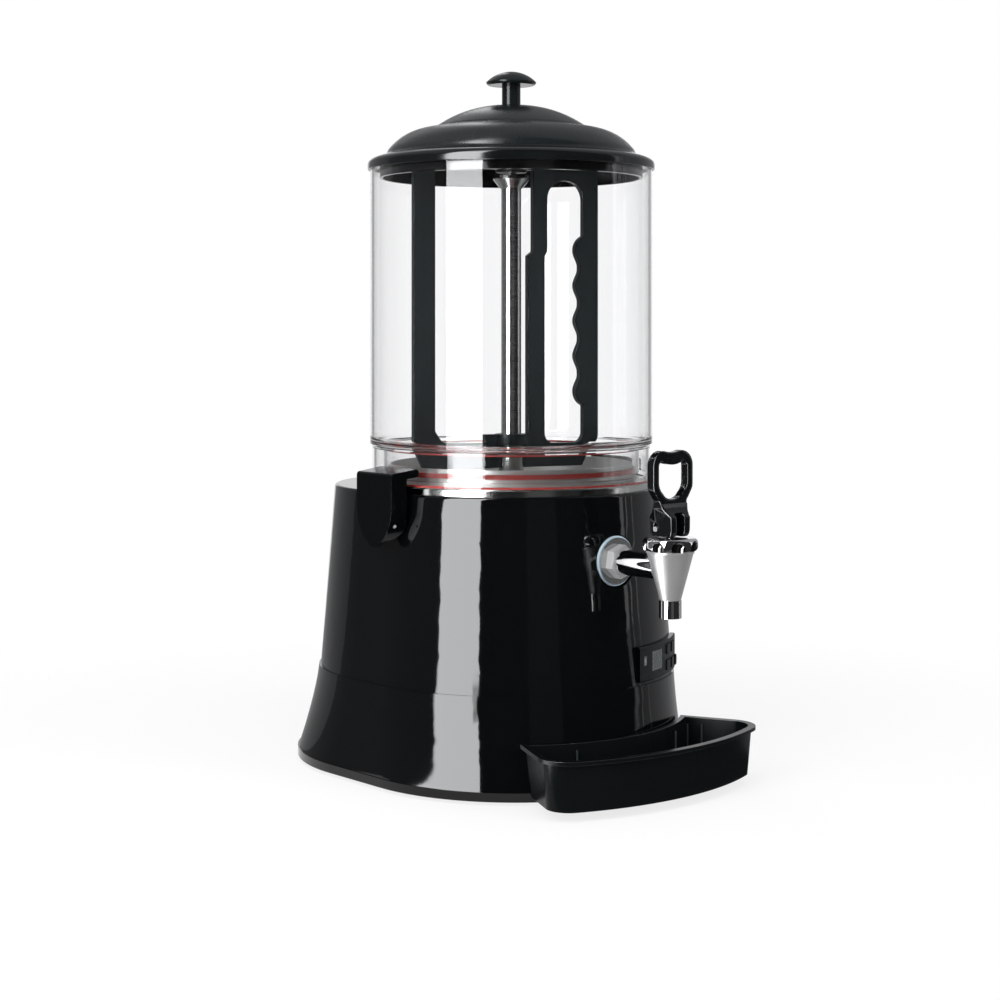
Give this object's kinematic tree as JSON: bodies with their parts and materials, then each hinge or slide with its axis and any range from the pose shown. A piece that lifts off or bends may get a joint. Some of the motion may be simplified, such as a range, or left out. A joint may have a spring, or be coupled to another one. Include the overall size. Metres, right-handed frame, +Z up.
{
  "type": "hot chocolate dispenser",
  "caption": "Counter-top hot drink dispenser: flared base with drip tray, tap and key panel, heated pot, clear round bowl with stirring paddle, side latches and domed lid with knob.",
  "frame": {"origin": "on the table under the bowl's axis, which is the middle of the object's depth and width", "axes": "+Z up along the bowl's axis, -Y out of the front where the tap and tray are, +X to the right seen from the front"},
  "size_m": [0.288, 0.4119, 0.58],
  "materials": {
    "black_gloss": "gloss",
    "black_matte": "matte",
    "clear": "clear",
    "steel": "brushed",
    "chrome": "polished",
    "rubber_black": "matte",
    "seal_red": "satin",
    "seal_pale": "satin",
    "display": "gloss",
    "zinc": "satin",
    "nylon": "matte",
    "board": "matte",
    "brass": "satin",
    "aluminium": "satin"
  },
  "bodies": {
    "machine": {"base_skirt": "black_gloss", "base_plate": "zinc", "rubber_feet": "rubber_black", "foot_screws": "zinc", "housing": "black_gloss", "water_tank": "steel", "product_pot": "steel", "heating_element": "steel", "thermostat_probe": "steel", "centre_tube": "steel", "tube_collar": "steel", "tube_sleeve": "steel", "tube_nut": "steel", "shaft_bushes": "nylon", "bowl": "clear", "bowl_gasket": "seal_red", "bowl_lip_seal": "seal_red", "flange_seal": "seal_red", "gearbox_case": "aluminium", "gearbox_cover": "aluminium", "motor_can": "zinc", "motor_bracket": "zinc", "latch_brackets": "black_gloss", "latch_pins": "steel", "tap_body": "chrome", "tap_bonnet": "chrome", "tap_spring": "steel", "tap_nut": "chrome", "tap_washer": "chrome", "tap_seal_ring": "seal_pale", "tap_lock_nut": "brass", "panel_bezel": "black_gloss", "display_window": "display", "indicator_lens": "display", "control_board": "board", "cable_gland": "rubber_black", "terminal_block": "nylon"},
    "lid": {"lid": "black_gloss", "lid_knob": "black_gloss", "knob_nut": "zinc"},
    "paddle_drive": {"paddle": "black_matte", "drive_shaft": "steel", "drive_gear": "nylon"},
    "motor_rotor": {"motor_pinion": "brass", "motor_shaft": "steel"},
    "left_latch": {"latch_left": "black_gloss"},
    "right_latch": {"latch_right": "black_gloss"},
    "tap_valve": {"valve_stem": "steel", "seat_cup": "nylon", "handle_pin": "chrome"},
    "tap_lever": {"tap_handle": "black_gloss"},
    "up_key": {"key_up": "black_matte"},
    "down_key": {"key_down": "black_matte"},
    "set_key": {"key_set": "black_matte"},
    "mode_key": {"key_mode": "black_matte"},
    "power_key": {"key_power": "black_matte"},
    "tray": {"drip_tray": "black_gloss"}
  },
  "joints": [
    {"name": "lid_lift", "type": "slide", "parent": "machine", "child": "lid", "axis": [0, 0, 1], "range_m": [0, 0.08]},
    {"name": "paddle_spin", "type": "hinge", "parent": "machine", "child": "paddle_drive", "pos_m": [0, 0, 0.3], "axis": [0, 0, 1], "continuous": true},
    {"name": "motor_spin", "type": "hinge", "parent": "machine", "child": "motor_rotor", "pos_m": [0, 0.045, 0.073], "axis": [0, 0, 1], "continuous": true},
    {"name": "left_latch_swing", "type": "hinge", "parent": "machine", "child": "left_latch", "pos_m": [-0.1383, 0, 0.21], "axis": [0, -1, 0], "range_deg": [0, 35]},
    {"name": "right_latch_swing", "type": "hinge", "parent": "machine", "child": "right_latch", "pos_m": [0.1383, 0, 0.21], "axis": [0, 1, 0], "range_deg": [0, 35]},
    {"name": "valve_lift", "type": "slide", "parent": "machine", "child": "tap_valve", "axis": [0, 0, 1], "range_m": [0, 0.0056], "deforming": ["tap_spring"]},
    {"name": "lever_pull", "type": "hinge", "parent": "tap_valve", "child": "tap_lever", "pos_m": [0, -0.17979, 0.2118], "axis": [1, 0, 0], "range_deg": [0, 25], "stiffness_Nm_per_rad": 0.08, "springref_deg": -14.32},
    {"name": "up_key_press", "type": "slide", "parent": "machine", "child": "up_key", "axis": [-0.4617, 0.887, 0], "range_m": [0, 0.0008], "stiffness_N_per_m": 600, "springref_m": -0.0005},
    {"name": "down_key_press", "type": "slide", "parent": "machine", "child": "down_key", "axis": [-0.4617, 0.887, 0], "range_m": [0, 0.0008], "stiffness_N_per_m": 600, "springref_m": -0.0005},
    {"name": "set_key_press", "type": "slide", "parent": "machine", "child": "set_key", "axis": [-0.549, 0.8358, 0], "range_m": [0, 0.0008], "stiffness_N_per_m": 600, "springref_m": -0.0005},
    {"name": "mode_key_press", "type": "slide", "parent": "machine", "child": "mode_key", "axis": [-0.549, 0.8358, 0], "range_m": [0, 0.0008], "stiffness_N_per_m": 600, "springref_m": -0.0005},
    {"name": "power_key_press", "type": "slide", "parent": "machine", "child": "power_key", "axis": [-0.6374, 0.7705, 0], "range_m": [0, 0.0008], "stiffness_N_per_m": 600, "springref_m": -0.0005},
    {"name": "tray_pull", "type": "slide", "parent": "machine", "child": "tray", "axis": [0, -1, 0], "range_m": [0, 0.12]}
  ],
  "couplings": [
    {"joint": "motor_spin", "follows": "paddle_spin", "ratio": -4},
    {"joint": "valve_lift", "follows": "lever_pull", "m_per_rad": 0.0124}
  ]
}
